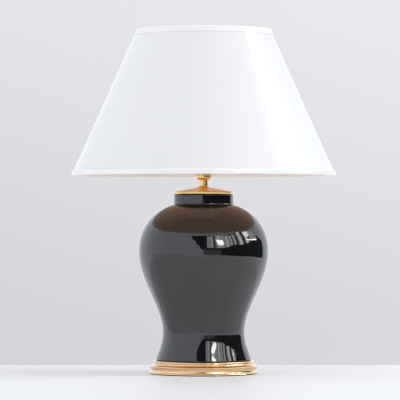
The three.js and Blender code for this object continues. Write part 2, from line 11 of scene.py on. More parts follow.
import bpy
from bpy.props import FloatProperty, FloatVectorProperty, IntProperty, PointerProperty
from bpy.types import Operator, Panel, PropertyGroup
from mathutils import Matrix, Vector

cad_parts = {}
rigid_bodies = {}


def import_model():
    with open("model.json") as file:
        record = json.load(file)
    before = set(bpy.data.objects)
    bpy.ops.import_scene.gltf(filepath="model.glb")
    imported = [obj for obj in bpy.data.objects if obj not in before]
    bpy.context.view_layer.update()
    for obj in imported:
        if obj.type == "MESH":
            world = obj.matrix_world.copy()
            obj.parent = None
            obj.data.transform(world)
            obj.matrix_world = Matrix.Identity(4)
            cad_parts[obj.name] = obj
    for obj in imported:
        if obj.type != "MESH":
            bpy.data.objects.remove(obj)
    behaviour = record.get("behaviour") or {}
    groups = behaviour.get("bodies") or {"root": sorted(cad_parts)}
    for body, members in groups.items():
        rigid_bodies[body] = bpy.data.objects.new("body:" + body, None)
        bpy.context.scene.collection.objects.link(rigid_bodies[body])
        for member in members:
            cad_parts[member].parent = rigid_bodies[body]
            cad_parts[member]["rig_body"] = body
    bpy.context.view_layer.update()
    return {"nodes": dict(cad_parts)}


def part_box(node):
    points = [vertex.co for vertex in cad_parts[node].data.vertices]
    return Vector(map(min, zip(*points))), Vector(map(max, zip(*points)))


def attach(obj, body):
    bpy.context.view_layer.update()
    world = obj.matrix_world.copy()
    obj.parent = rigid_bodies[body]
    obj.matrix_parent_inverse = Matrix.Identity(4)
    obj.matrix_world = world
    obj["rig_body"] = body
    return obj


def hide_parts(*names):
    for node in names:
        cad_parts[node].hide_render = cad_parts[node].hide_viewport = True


bl_info = {
    "name": "Jar table lamp",
    "version": (1, 0, 0),
    "blender": (4, 5, 0),
    "location": "3D View > Sidebar > Lamp",
    "description": "Builds a glazed jar lamp with a white shade round its CAD frame",
    "category": "Object",
}

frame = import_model()

MM = 0.001
FINE = 192  # segments round the jar, the plinth, the cap and the shade
MEDIUM = 96  # round the lampholder and the bulb
SMALL = 64  # round the other metalwork
GAP = 0.3  # between pieces that touch in the real lamp
HEM_ROUND = 2.5  # radius of the hems' folded corners
HEM_FOLD = 1.5  # how far inside the cover the hems turn from white to their inner tape


# ---- Reading the frame ----------------------------------------------------------------------------------


def box_mm(node):
    low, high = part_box(node)
    return low / MM, high / MM


def turned_from_axis(axis, level, point):
    """A point of a piece turned about Z, laid along the given axis at a level."""
    a, b, h = point
    return {"Z": (a, b, h), "X": (h, b, level - a), "Y": (a, h, level - b)}[axis]


def axis_level(node, axis):
    low, high = box_mm(node)
    return 0.0 if axis == "Z" else (low.z + high.z) / 2


def outline_of(node, axis="Z"):
    """A turned CAD node's outline, as (radius, height) in order, with the material on its left."""
    mesh = frame["nodes"][node].data
    level = axis_level(node, axis)
    keys = []
    for vertex in mesh.vertices:
        x, y, z = vertex.co / MM
        radius, side, height = {"Z": (-x, y, z), "X": (z - level, y, x), "Y": (-x, z - level, y)}[axis]
        in_section = abs(side) < 0.01 and radius > -0.01
        keys.append((max(round(radius, 2), 0.0), round(height, 2)) if in_section else None)
    links = {}
    for edge in mesh.edges:
        a, b = (keys[i] for i in edge.vertices)
        if a and b and a != b:
            links.setdefault(a, set()).add(b)
            links.setdefault(b, set()).add(a)
    ends = sorted(k for k in links if len(links[k]) == 1)
    outline = [ends[0] if ends else min(links)]
    while True:
        onward = sorted(k for k in links[outline[-1]] if k not in outline)
        if not onward:
            break
        outline.append(onward[0])
    if len(outline) != len(links):
        raise ValueError(f"the outline of {node} isn't one line")
    area = sum(a[0] * b[1] - b[0] * a[1] for a, b in zip(outline, outline[1:] + outline[:1]))
    return outline if area > 0 else outline[::-1]


def outer_radius(node):
    return max(abs(c) for corner in box_mm(node) for c in corner.xy)


# ---- Shaping outlines -----------------------------------------------------------------------------------


def bezier(start, a, b, end, steps):
    """Points along a Bezier curve, without its first point."""
    points = []
    for k in range(1, steps + 1):
        t = k / steps
        weights = ((1 - t) ** 3, 3 * t * (1 - t) ** 2, 3 * t * t * (1 - t), t**3)
        points.append(tuple(sum(w * p[i] for w, p in zip(weights, (start, a, b, end))) for i in (0, 1)))
    return points


def rounded(outline, radius=0.4, curve_limit=35):
    """Rounds an outline's corners to a radius, and joins the short straights of its curves smoothly."""
    closed = outline[0][0] > 1e-6 or outline[-1][0] > 1e-6
    count = len(outline)
    result = []
    for i, here in enumerate(outline):
        if not closed and i in (0, count - 1):
            result.append(here)
            continue
        corner = Vector(here)
        back = Vector(outline[i - 1]) - corner
        on = Vector(outline[(i + 1) % count]) - corner
        turn = pi - back.angle(on)
        room = 0.5 * min(back.length, on.length)
        reach = room if degrees(turn) < curve_limit else min(radius * tan(turn / 2), 0.9 * room)
        start, end = corner + back.normalized() * reach, corner + on.normalized() * reach
        steps = max(2, round(degrees(turn) / 12))
        for k in range(steps + 1):
            t = k / steps
            point = start * (1 - t) ** 2 + corner * 2 * t * (1 - t) + end * t * t
            if not result or (Vector(result[-1]) - point).length > 1e-4:
                result.append((point.x, point.y))
    if closed and (Vector(result[-1]) - Vector(result[0])).length < 1e-4:
        result.pop()
    return result


def inset(outline, wall):
    """An outline moved inwards by a wall, measured square to it."""
    moved = []
    for i, (r, z) in enumerate(outline):
        before, after = outline[max(i - 1, 0)], outline[min(i + 1, len(outline) - 1)]
        along = (Vector(after) - Vector(before)).normalized()
        moved.append((r - wall * along.y, z + wall * along.x))
    return moved


def curve_through(points, steps):
    """Points along a centripetal curve through the given ones."""
    points = [Vector(p) for p in points]
    points = [2 * points[0] - points[1], *points, 2 * points[-1] - points[-2]]
    line = []
    for p0, p1, p2, p3 in zip(points, points[1:], points[2:], points[3:]):
        t = [0.0]
        for a, b in ((p0, p1), (p1, p2), (p2, p3)):
            t.append(t[-1] + max((b - a).length, 1e-6) ** 0.5)
        for k in range(steps):
            s = t[1] + (t[2] - t[1]) * k / steps
            a1 = p0.lerp(p1, (s - t[0]) / (t[1] - t[0]))
            a2 = p1.lerp(p2, (s - t[1]) / (t[2] - t[1]))
            a3 = p2.lerp(p3, (s - t[2]) / (t[3] - t[2]))
            b1 = a1.lerp(a2, (s - t[0]) / (t[2] - t[0]))
            b2 = a2.lerp(a3, (s - t[1]) / (t[3] - t[1]))
            line.append(b1.lerp(b2, (s - t[1]) / (t[2] - t[1])))
    return [*line, points[-2]]


# ---- Making meshes --------------------------------------------------------------------------------------


def turned(outline, segments, shape=None):
    """Points and faces of an outline turned about the axis. shape(angle, radius, height) gives the radius."""
    points, rows = [], []
    for r, h in outline:
        if r < 1e-6:
            rows.append([len(points)] * segments)
            points.append((0.0, 0.0, h))
            continue
        rows.append(range(len(points), len(points) + segments))
        for k in range(segments):
            angle = 2 * pi * k / segments
            radius = shape(angle, r, h) if shape else r
            points.append((radius * cos(angle), radius * sin(angle), h))
    pairs = list(zip(rows, rows[1:]))
    if outline[0][0] > 1e-6 or outline[-1][0] > 1e-6:
        pairs.append((rows[-1], rows[0]))
    faces = []
    for low, high in pairs:
        for k in range(segments):
            n = (k + 1) % segments
            corners = list(dict.fromkeys((low[k], low[n], high[n], high[k])))
            if len(corners) > 2:
                faces.append(corners)
    return points, faces


def wire(line, radius, across, sides=16):
    """Points and faces of a round wire along a flat line. across is square to the line's plane."""
    points, faces = [], []
    across = Vector(across)
    for i, middle in enumerate(line):
        along = (line[min(i + 1, len(line) - 1)] - line[max(i - 1, 0)]).normalized()
        out = across.cross(along)
        for k in range(sides):
            angle = 2 * pi * k / sides
            points.append(tuple(middle + radius * (cos(angle) * out + sin(angle) * across)))
    for i in range(len(line) - 1):
        for k in range(sides):
            n = (k + 1) % sides
            a, b = i * sides, (i + 1) * sides
            faces.append((a + k, a + n, b + n, b + k))
    faces.append(tuple(reversed(range(sides))))
    faces.append(tuple(range((len(line) - 1) * sides, len(line) * sides)))
    return points, faces


def block(low, high):
    """Points and faces of a box between two corners."""
    (x0, y0, z0), (x1, y1, z1) = low, high
    points = [(x, y, z) for z in (z0, z1) for y in (y0, y1) for x in (x0, x1)]
    return points, [(0, 2, 3, 1), (4, 5, 7, 6), (0, 1, 5, 4), (2, 6, 7, 3), (0, 4, 6, 2), (1, 3, 7, 5)]


def mesh_object(name, points, faces):
    mesh = bpy.data.meshes.new(name)
    mesh.from_pydata([Vector(p) * MM for p in points], [], faces)
    mesh.validate()
    made = bpy.data.objects.new(name, mesh)
    bpy.context.scene.collection.objects.link(made)
    return made


def soften(made, sharp=32):
    """Smooth shading with crisp corners, and flats that stay flat beside rounded edges."""
    mesh = made.data
    mesh.polygons.foreach_set("use_smooth", [True] * len(mesh.polygons))
    mesh.set_sharp_from_angle(angle=radians(sharp))
    weighted = made.modifiers.new("flat_faces", "WEIGHTED_NORMAL")
    weighted.keep_sharp = True


def carve(made, *tools):
    """Cuts the tools, given as (points, faces), out of a mesh object."""
    for k, (points, faces) in enumerate(tools):
        tool = mesh_object(f"tool_{k}", points, faces)
        modifier = made.modifiers.new("carve", "BOOLEAN")
        modifier.operation, modifier.object, modifier.solver = "DIFFERENCE", tool, "EXACT"
        result = bpy.data.meshes.new_from_object(made.evaluated_get(bpy.context.evaluated_depsgraph_get()))
        made.modifiers.remove(modifier)
        made.data = result
        bpy.data.objects.remove(tool)


def stand_for(made, node, slot):
    """Gives a finished piece its material, its CAD node and that node's body."""
    made.data.materials.clear()
    made.data.materials.append(finish(slot))
    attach(made, frame["nodes"][node]["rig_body"])
    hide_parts(node)
    return made


def spin(name, node, slot, radius=0.4, segments=MEDIUM, axis="Z", outline=None, shape=None, tools=()):
    """A turned piece in place of a CAD node, with rounded corners and, if asked, holes cut by tools."""
    level = axis_level(node, axis)
    points, faces = turned(rounded(outline or outline_of(node, axis), radius), segments, shape)
    made = mesh_object(name, [turned_from_axis(axis, level, p) for p in points], faces)
    carve(made, *tools)
    soften(made)
    return stand_for(made, node, slot)


def dress(node, slot, bevel=0.25):
    """Keeps a CAD node, with a material and slightly broken edges."""
    made = frame["nodes"][node]
    made.data.materials.clear()
    made.data.materials.append(finish(slot))
    made.modifiers.new("weld", "WELD").merge_threshold = 1e-6
    edges = made.modifiers.new("edges", "BEVEL")
    edges.width, edges.segments, edges.limit_method, edges.angle_limit = bevel * MM, 2, "ANGLE", radians(25)
    return made


def rod_tool(axis, level, radius, start, end, segments=SMALL):
    """A round cutter along an axis."""
    points, faces = turned([(0, start), (radius, start), (radius, end), (0, end)], segments)
    return [turned_from_axis(axis, level, p) for p in points], faces


# ---- Materials ------------------------------------------------------------------------------------------


class Nodes:
    """Adds nodes to a tree and feeds their sockets, each with a number, a colour or another node's socket."""

    def __init__(self, tree):
        self.tree = tree

    def node(self, kind, **settings):
        made = self.tree.nodes.new(f"ShaderNode{kind}")
        for setting, value in settings.items():
            setattr(made, setting, value)
        return made

    def feed(self, socket, value):
        if isinstance(value, bpy.types.NodeSocket):
            self.tree.links.new(value, socket)
        else:
            socket.default_value = value

    def feed_all(self, made, **values):
        """Feeds sockets by their names, with _ for a space."""
        for name, value in values.items():
            self.feed(made.inputs[name.replace("_", " ")], value)
        return made

    def axes(self, vector):
        made = self.feed_all(self.node("SeparateXYZ"), Vector=vector)
        return [made.outputs[axis] for axis in "XYZ"]

    def maths(self, operation, *values):
        made = self.node("Math", operation=operation)
        for socket, value in zip(made.inputs, values):
            self.feed(socket, value)
        return made.outputs["Value"]

    def between(self, fac, low, high, start=0.0, end=1.0):
        """A number from low to high as fac goes from start to end."""
        made = self.node("MapRange")
        self.feed_all(made, Value=fac, From_Min=start, From_Max=end, To_Min=low, To_Max=high)
        return made.outputs["Result"]


class Recipe(Nodes):
    """A material being made: its shader's own values, and the nodes that vary them over the surface."""

    def __init__(self, name, colour, roughness, **sockets):
        self.material = bpy.data.materials.new(name)
        self.material.use_nodes = True
        super().__init__(self.material.node_tree)
        self.shader = self.tree.nodes["Principled BSDF"]
        self.feed_all(self.shader, Base_Color=(*colour, 1), Roughness=roughness)
        for socket, value in sockets.items():
            title = socket.replace("_", " ").title().replace("Ior", "IOR")
            self.feed(self.shader.inputs[title], value)
        self.normal = None

    def place(self, scale=(1, 1, 1)):
        """Places on the piece, in metres times a scale."""
        mapping = self.node("Mapping")
        self.feed_all(mapping, Vector=self.node("TexCoord").outputs["Object"], Scale=scale)
        return mapping.outputs["Vector"]

    def spun_place(self, radial, round_, upright):
        """Places on a turned piece: its radius, the way round and the height, each times a scale."""
        x, y, z = self.axes(self.node("TexCoord").outputs["Object"])
        square = self.maths("ADD", self.maths("MULTIPLY", x, x), self.maths("MULTIPLY", y, y))
        radius = self.maths("SQRT", square)
        joined = self.node("CombineXYZ")
        self.feed_all(
            joined,
            X=self.maths("MULTIPLY", radius, float(radial)),
            Y=self.maths("MULTIPLY", self.maths("DIVIDE", x, radius), float(round_)),
            Z=self.maths("MULTIPLY", z, float(upright)),
        )
        return joined.outputs["Vector"]

    def noise(self, scale, detail=2.0, roughness=0.5, vector=None):
        made = self.node("TexNoise")
        self.feed_all(made, Scale=scale, Detail=detail, Roughness=roughness, Vector=vector or self.place())
        return made.outputs["Fac"]

    def cells(self, scale, feature="F1"):
        made = self.node("TexVoronoi", feature=feature)
        self.feed_all(made, Scale=scale, Vector=self.place())
        return made.outputs["Distance"]

    def bands(self, scale, direction, distortion, vector, detail=2.0):
        made = self.node("TexWave", bands_direction=direction)
        self.feed_all(made, Scale=scale, Distortion=distortion, Detail=detail, Vector=vector)
        return made.outputs["Fac"]

    def blend(self, fac, a, b):
        """A colour from a to b as fac goes from 0 to 1."""
        made = self.node("Mix", data_type="RGBA")
        self.feed(made.inputs["Factor"], fac)
        for socket, value in zip((s for s in made.inputs if s.type == "RGBA"), (a, b)):
            self.feed(socket, value if isinstance(value, bpy.types.NodeSocket) else (*value, 1))
        return next(s for s in made.outputs if s.type == "RGBA")

    def colour(self, value):
        self.feed(self.shader.inputs["Base Color"], value)

    def roughness(self, value):
        self.feed(self.shader.inputs["Roughness"], value)

    def glow(self, colour, strength):
        self.feed_all(self.shader, Emission_Color=(*colour, 1), Emission_Strength=strength)

    def bump(self, height, depth):
        """Raises the surface by up to depth millimetres where height is 1."""
        made = self.node("Bump")
        self.feed_all(made, Height=height, Distance=depth * MM, Strength=1.0)
        if self.normal:
            self.feed(made.inputs["Normal"], self.normal)
        self.normal = made.outputs["Normal"]
        self.feed(self.shader.inputs["Normal"], self.normal)


def shaded(colour, share):
    return tuple(c * share for c in colour)


def glaze(tint):
    """Black lead glaze: a slow ripple, faint pinholes, and a brown break where it thins at rim and foot."""
    low, high = (c.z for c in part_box("jar_body"))
    r = Recipe("black_glaze", tint, 0.03, ior=1.72)
    _, _, z = r.axes(r.place())
    run = r.noise(90, 3)
    edge = r.maths("MINIMUM", r.maths("SUBTRACT", z, low), r.maths("SUBTRACT", high, z))
    thin = r.between(r.maths("ADD", edge, r.maths("MULTIPLY", run, 0.002)), 1, 0, 0.0012, 0.0032)
    deep = r.blend(r.noise(14, 4), tint, shaded(tint, 1.8))
    r.colour(r.blend(r.maths("MULTIPLY", thin, 0.7), deep, (0.05, 0.026, 0.014)))
    r.roughness(r.between(r.noise(22, 3), 0.015, 0.05))
    r.bump(r.noise(26, 1), 0.05)
    r.bump(r.between(r.cells(420), 0, 1, 0.0, 0.06), 0.004)
    return r.material


def gilt(tint):
    """Gilded casting: satin gold with burnished high places, and painted shade that darkens the hollows by
    ambient occlusion.
    """
    r = Recipe("gilt_casting", tint, 0.2, metallic=1.0)
    wear = r.noise(60, 5, 0.6)
    cloud = r.noise(11, 4, 0.55)
    lines = r.noise(1.0, 2, vector=r.spun_place(2600, 3, 2600))
    tone = r.blend(r.between(cloud, 0, 1, 0.3, 0.7), shaded(tint, 0.9), tint)
    # Painted shade: ambient occlusion darkens the hollows towards a deeper brown gold.
    hollow_shade_ao = r.node("AmbientOcclusion", samples=6, only_local=True)
    r.feed(hollow_shade_ao.inputs["Distance"], 7 * MM)
    painted_shade = r.between(hollow_shade_ao.outputs["AO"], 0.5, 0, 0.35, 0.85)
    r.colour(r.blend(painted_shade, tone, (tint[0] * 0.6, tint[1] * 0.48, tint[2] * 0.36)))
    r.roughness(r.between(wear, 0.08, 0.18, 0.3, 0.7))
    r.bump(lines, 0.006)
    r.bump(cloud, 0.12)
    return r.material


def spun_metal(name, tint, smooth, rough, line_depth):
    """Metal polished on a lathe: fine lines round the axis, and a slight cloud of handling marks."""
    r = Recipe(name, tint, smooth, metallic=1.0)
    lines = r.noise(1.0, 3, 0.6, r.spun_place(3800, 2, 3800))
    cloud = r.noise(45, 4, 0.6)
    r.colour(r.blend(r.between(cloud, 0, 1, 0.35, 0.7), shaded(tint, 0.88), tint))
    r.roughness(r.between(r.maths("ADD", lines, cloud), smooth, rough, 0.7, 1.4))
    r.bump(lines, line_depth)
    return r.material


def brass(tint):
    return spun_metal("spun_brass", tint, 0.1, 0.22, 0.006)


def carrier_brass(tint):
    """Drawn wire and pressed rings, plated and a little duller than the turned brass."""
    r = Recipe("plated_wire", tint, 0.24, metallic=1.0)
    r.roughness(r.between(r.noise(120, 3), 0.16, 0.34))
    r.colour(r.blend(r.noise(38, 4), shaded(tint, 0.84), tint))
    r.bump(r.noise(700, 2, vector=r.place((1, 1, 0.15))), 0.012)
    return r.material


def steel(tint):
    """Zinc-plated steel: pale, cloudy, with a faint spangle."""
    r = Recipe("zinc_steel", tint, 0.3, metallic=1.0)
    spangle = r.cells(260)
    r.colour(r.blend(spangle, shaded(tint, 0.85), tint))
    r.roughness(r.between(r.noise(150, 4), 0.22, 0.42))
    r.bump(r.noise(900, 2), 0.01)
    return r.material


def white_wire(tint):
    """Powder-coated wire, with the fine orange peel of the coat."""
    r = Recipe("white_coated_wire", tint, 0.35, coat_weight=0.4, coat_roughness=0.15)
    r.colour(r.blend(r.noise(60, 3), shaded(tint, 0.94), tint))
    r.roughness(r.between(r.noise(300, 2), 0.28, 0.42))
    r.bump(r.noise(520, 1), 0.03)
    return r.material


def iron(tint):
    """Sand-cast iron, blackened, with a grainy skin."""
    r = Recipe("cast_iron", tint, 0.65, metallic=0.6)
    grain = r.noise(420, 5, 0.7)
    r.colour(r.blend(grain, shaded(tint, 0.6), shaded(tint, 1.5)))
    r.roughness(r.between(grain, 0.5, 0.8))
    r.bump(grain, 0.35)
    return r.material


def felt(tint):
    """Pressed wool felt: matted fibres and a soft nap."""
    r = Recipe("wool_felt", tint, 0.95, sheen_weight=0.6, sheen_roughness=0.5)
    fibres = r.noise(900, 6, 0.75, r.place((1, 0.35, 1)))
    clumps = r.noise(140, 4, 0.6)
    r.colour(r.blend(r.maths("MULTIPLY", fibres, clumps), shaded(tint, 0.5), shaded(tint, 2.4)))
    r.bump(fibres, 0.5)
    r.bump(clumps, 0.4)
    return r.material


def rubber(tint):
    """Moulded black rubber, slightly bloomed."""
    r = Recipe("black_rubber", tint, 0.6)
    bloom = r.noise(130, 4)
    r.colour(r.blend(bloom, shaded(tint, 0.7), shaded(tint, 1.9)))
    r.roughness(r.between(bloom, 0.5, 0.75))
    r.bump(r.noise(1400, 2), 0.02)
    return r.material


def beech(tint):
    """Turned beech: growth rings, and the short dark flecks of its rays."""
    r = Recipe("turned_beech", tint, 0.55)
    grain = r.bands(55, "Y", 3.5, r.place((1, 1, 0.25)), 3)
    flecks = r.between(r.noise(1.0, 2, 0.5, r.place((2600, 700, 900))), 0, 1, 0.62, 0.72)
    r.colour(r.blend(flecks, r.blend(grain, shaded(tint, 0.78), tint), shaded(tint, 0.55)))
    r.roughness(r.between(grain, 0.45, 0.65))
    r.bump(grain, 0.05)
    return r.material


def porcelain(tint):
    """Glazed electrical porcelain with a few dark specks."""
    r = Recipe("porcelain", tint, 0.14, ior=1.55)
    specks = r.between(r.cells(240), 1, 0, 0.03, 0.05)
    r.colour(r.blend(specks, r.blend(r.noise(30, 3), shaded(tint, 0.95), tint), (0.35, 0.3, 0.25)))
    r.roughness(r.between(r.noise(80, 2), 0.1, 0.22))
    r.bump(r.noise(110, 2), 0.04)
    return r.material


def moulded(name, tint, smooth, rough, grain=700):
    """Moulded plastic: an even fine spark texture and slightly uneven gloss."""
    r = Recipe(name, tint, rough)
    r.colour(r.blend(r.noise(35, 3), shaded(tint, 0.9), tint))
    r.roughness(r.between(r.noise(90, 3), smooth, rough))
    r.bump(r.noise(grain, 2), 0.015)
    return r.material


def clamp_plastic(tint):
    return moulded("clamp_plastic", tint, 0.28, 0.4)


def bulb_white(tint):
    return moulded("bulb_housing_plastic", tint, 0.32, 0.44, 1100)


def phenolic(tint):
    """Polished dark phenolic with the brown swirl of its filler."""
    r = Recipe("phenolic", tint, 0.18)
    swirl = r.noise(70, 5, 0.65)
    r.colour(r.blend(r.between(swirl, 0, 1, 0.52, 0.75), tint, (0.045, 0.02, 0.01)))
    r.roughness(r.between(swirl, 0.12, 0.26))
    r.bump(r.noise(200, 2), 0.015)
    return r.material


def fibre(tint):
    """Pressed insulating paper with visible fibres."""
    r = Recipe("insulating_paper", tint, 0.85)
    fibres = r.noise(1.0, 4, 0.7, r.place((500, 500, 2200)))
    r.colour(r.blend(fibres, shaded(tint, 0.6), shaded(tint, 1.5)))
    r.bump(fibres, 0.06)
    return r.material


def nickel(tint):
    return spun_metal("nickel", tint, 0.16, 0.3, 0.008)


def shade_white(tint):
    """Hardback sheet: white paper under a clear gloss laminate, with the paper's fibre just showing."""
    r = Recipe("white_laminate", tint, 0.45, coat_weight=1.0, coat_roughness=0.045, coat_ior=1.5)
    pulp = r.noise(28, 5, 0.6)
    r.colour(r.blend(pulp, shaded(tint, 0.985), tint))
    r.roughness(r.between(r.noise(160, 3), 0.4, 0.55))
    r.bump(r.noise(900, 3, 0.6), 0.004)
    return r.material


def hem_white(tint):
    """Rolled trim: matt white paper tape with a faint laid grain round the shade."""
    r = Recipe("white_trim", tint, 0.5, coat_weight=0.5, coat_roughness=0.12)
    laid = r.bands(1.0, "Z", 0.8, r.spun_place(0, 0, 700))
    r.colour(r.blend(r.noise(40, 4, 0.6), shaded(tint, 0.985), tint))
    r.roughness(r.between(laid, 0.45, 0.58))
    r.bump(laid, 0.01)
    return r.material


def warm_sheet(name, tint):
    """Warm inner sheet: a fine crossed weave, with a painted glow that stands in for the light the shade lets
    through.
    """
    r = Recipe(name, tint, 0.5)
    around = r.spun_place(0, 1, 0)
    threads = r.maths(
        "ADD",
        r.bands(1.0, "Z", 0.3, r.spun_place(0, 0, 2400)),
        r.bands(1.0, "Y", 0.3, r.spun_place(0, 900, 0)),
    )
    r.colour(r.blend(r.noise(40, 4, 0.6, around), shaded(tint, 0.94), tint))
    r.roughness(r.between(threads, 0.42, 0.6, 0, 2))
    r.bump(threads, 0.02)
    # Painted light: the sheet emits a little of its own colour, standing in for light through the shade.
    r.glow(tint, bpy.context.scene.lamp_colours.painted_lining_glow)
    return r.material


def shade_lining(tint):
    return warm_sheet("warm_lining", tint)


def hem_inside(tint):
    return warm_sheet("hem_inside", tint)


def opal(tint):
    """Milky plastic: light sinks in under a satin skin."""
    deep = {"subsurface_weight": 0.6, "subsurface_scale": 4 * MM, "subsurface_radius": (1, 0.95, 0.9)}
    r = Recipe("opal_dome", tint, 0.3, **deep)
    r.colour(r.blend(r.noise(25, 3), shaded(tint, 0.97), tint))
    r.roughness(r.between(r.noise(200, 2), 0.25, 0.38))
    r.bump(r.noise(1300, 2), 0.008)
    return r.material


def circuit(tint):
    """White solder mask over copper, with the tracks just raised."""
    r = Recipe("circuit_board", tint, 0.4)
    tracks = r.between(r.cells(330, "DISTANCE_TO_EDGE"), 1, 0, 0.03, 0.06)
    r.colour(r.blend(tracks, tint, (0.75, 0.66, 0.42)))
    r.roughness(r.between(tracks, 0.35, 0.5))
    r.bump(tracks, 0.04)
    return r.material


RECIPES = {
    recipe.__name__: recipe
    for recipe in (
        glaze,
        gilt,
        brass,
        carrier_brass,
        steel,
        white_wire,
        iron,
        felt,
        rubber,
        beech,
        porcelain,
        clamp_plastic,
        fibre,
        phenolic,
        nickel,
        shade_white,
        hem_white,
        shade_lining,
        hem_inside,
        opal,
        bulb_white,
        circuit,
    )
}
made_finishes = {}


def finish(slot):
    """The material of a slot, or of a hem, made when it is first asked for."""
    if slot not in made_finishes:
        made_finishes[slot] = RECIPES[slot](tuple(getattr(bpy.context.scene.lamp_colours, slot)))
    return made_finishes[slot]


# ---- What a user may change -----------------------------------------------------------------------------


def length(name, description, default):
    return FloatProperty(
        name=name, description=description, default=default, min=0, unit="LENGTH", subtype="DISTANCE"
    )


def amount(name, description, default):
    return FloatProperty(name=name, description=description, default=default, min=0)


def count(name, description, default):
    return IntProperty(name=name, description=description, default=default, min=4)


def tint(name, description, default):
    return FloatVectorProperty(
        name=name, description=description, default=default, size=3, min=0, max=1, subtype="COLOR"
    )


class LampSizes(PropertyGroup):
    """Sizes of the shapes that the frame's coarse outlines leave open."""

    waist: length("Waist", "Radius of the jar at its waist", 0.0857)
    waist_rise: length("Waist height", "Height of the waist above the jar's foot", 0.0585)
    belly_rise: length("Belly height", "Height of the belly above the jar's foot", 0.2265)
    neck_ring_height: length("Neck ring height", "Height of the jar's upright neck ring", 0.0206)
    jar_wall: length("Jar wall", "Thickness of the jar's wall", 0.006)
    seam: length("Shade seam", "Width of the shade cover's overlap at the back", 0.013)
    thread_pitch: length("Bulb thread pitch", "Rise of the bulb's thread in one turn", 0.00362)
    thread_depth: length("Bulb thread depth", "Depth of the bulb's thread", 0.0008)
    wire: length("Wire", "Radius of the carrier's and the spider's wire", 0.0015)
    flutes: count("Knob flutes", "Flutes round the switch knob", 16)
    scallops: count("Scallops", "Finger scallops round the clamp ring", 24)


class LampColours(PropertyGroup):
    """Colours of the finishes."""

    glaze: tint("Glaze", "The jar's glaze", (0.0035, 0.0037, 0.0045))
    gilt: tint("Gilt", "The plinth's gilding", (0.86, 0.6, 0.35))
    brass: tint("Brass", "The cap, the neck and the lampholder", (0.95, 0.66, 0.3))
    carrier_brass: tint("Plated wire", "The shade carrier", (0.82, 0.58, 0.28))
    steel: tint("Steel", "Nuts, washers and rods", (0.62, 0.63, 0.65))
    white_wire: tint("White wire", "The shade's rings and spider", (0.82, 0.82, 0.8))
    iron: tint("Iron", "The weight in the plinth", (0.06, 0.06, 0.062))
    felt: tint("Felt", "The pad under the plinth", (0.022, 0.025, 0.024))
    rubber: tint("Rubber", "Gaskets and the cord outlet", (0.012, 0.012, 0.012))
    beech: tint("Beech", "The plug inside the jar's neck", (0.58, 0.38, 0.2))
    porcelain: tint("Porcelain", "The lampholder's body", (0.86, 0.84, 0.78))
    clamp_plastic: tint("Clamp ring", "The ring that clamps the carrier", (0.8, 0.79, 0.75))
    fibre: tint("Insulating paper", "The lampholder's liner", (0.05, 0.04, 0.032))
    phenolic: tint("Phenolic", "The switch's knob and rotor", (0.012, 0.01, 0.009))
    nickel: tint("Nickel", "The screw shell and small contacts", (0.66, 0.65, 0.61))
    shade_white: tint("Shade", "The shade's outer sheet", (0.87, 0.875, 0.89))
    hem_white: tint("Hems", "The rolled hems of the shade", (0.955, 0.96, 0.97))
    shade_lining: tint("Lining", "The shade's inner sheet", (0.86, 0.62, 0.48))
    hem_inside: tint("Inside of the hems", "The hems' inner faces", (0.95, 0.85, 0.78))
    # Painted light: the strength of the painted glow on the lining and the hems' inner faces.
    painted_lining_glow: amount("Lining glow", "Light that the shade lets through to its lining", 0.15)
    opal: tint("Opal", "The bulb's dome", (0.88, 0.87, 0.84))
    bulb_white: tint("Bulb housing", "The bulb's plastic housing", (0.8, 0.8, 0.78))
    circuit: tint("Circuit board", "The bulb's light board", (0.78, 0.79, 0.77))


class LampStudio(PropertyGroup):
    """The stage, the light and the camera."""

    camera_distance: length("Camera distance", "From the lamp's axis to the camera", 5.85)
    camera_height: length("Camera height", "Height of the camera above the table", 0.331)
    camera_aside: FloatProperty(
        name="Camera aside", description="The camera's place across the lamp", default=-0.0075, unit="LENGTH"
    )
    aim_height: length("Aim height", "Height that the camera looks at", 0.3623)
    lens: FloatProperty(name="Lens", description="Focal length in millimetres", default=252, min=10, max=500)
    table_back: length("Table edge", "From the axis to the table's far edge", 0.33)
    room_light: amount("Room light", "Strength of the room's light", 1.0)
    window_light: amount("Window light", "Strength of the window", 1.0)
    backdrop: tint("Backdrop", "The wall behind the lamp", (0.71, 0.71, 0.74))
    table: tint("Table", "The table top", (0.88, 0.895, 0.915))


# ---- The pieces -----------------------------------------------------------------------------------------


class LampPiece(Operator):
    """Shared by the operators that make the lamp."""

    bl_options = {"REGISTER", "UNDO"}

    def execute(self, context):
        self.make(context.scene.lamp_sizes)
        return {"FINISHED"}


class LAMP_OT_underside(LampPiece):
    """Felt, weight, rod, its lower fasteners and the cord outlet"""

    bl_idname = "lamp.underside"
    bl_label = "Underside"

    def make(self, sizes):
        spin("felt", "felt_pad", "felt", 0.5, FINE)
        spin("weight", "base_weight", "iron", 0.8, FINE)
        spin("lower_washer", "base_washer", "steel", 0.3)
        dress("base_nut", "steel", 0.4)
        spin("rod", "threaded_rod", "steel", 0.4)
        spin("outlet", "cord_outlet", "rubber", 0.5, SMALL, "Y")


class LAMP_OT_plinth(LampPiece):
    """The cast plinth, with its hole for the cord outlet"""

    bl_idname = "lamp.plinth"
    bl_label = "Plinth"

    def make(self, sizes):
        low, high = box_mm("cord_outlet")
        edge = outer_radius("base_plinth")
        hole = rod_tool("Y", axis_level("cord_outlet", "Y"), (high.z - low.z) / 2 - 0.5, edge - 25, edge + 5)
        spin("plinth", "base_plinth", "gilt", 0.35, FINE, tools=[hole])


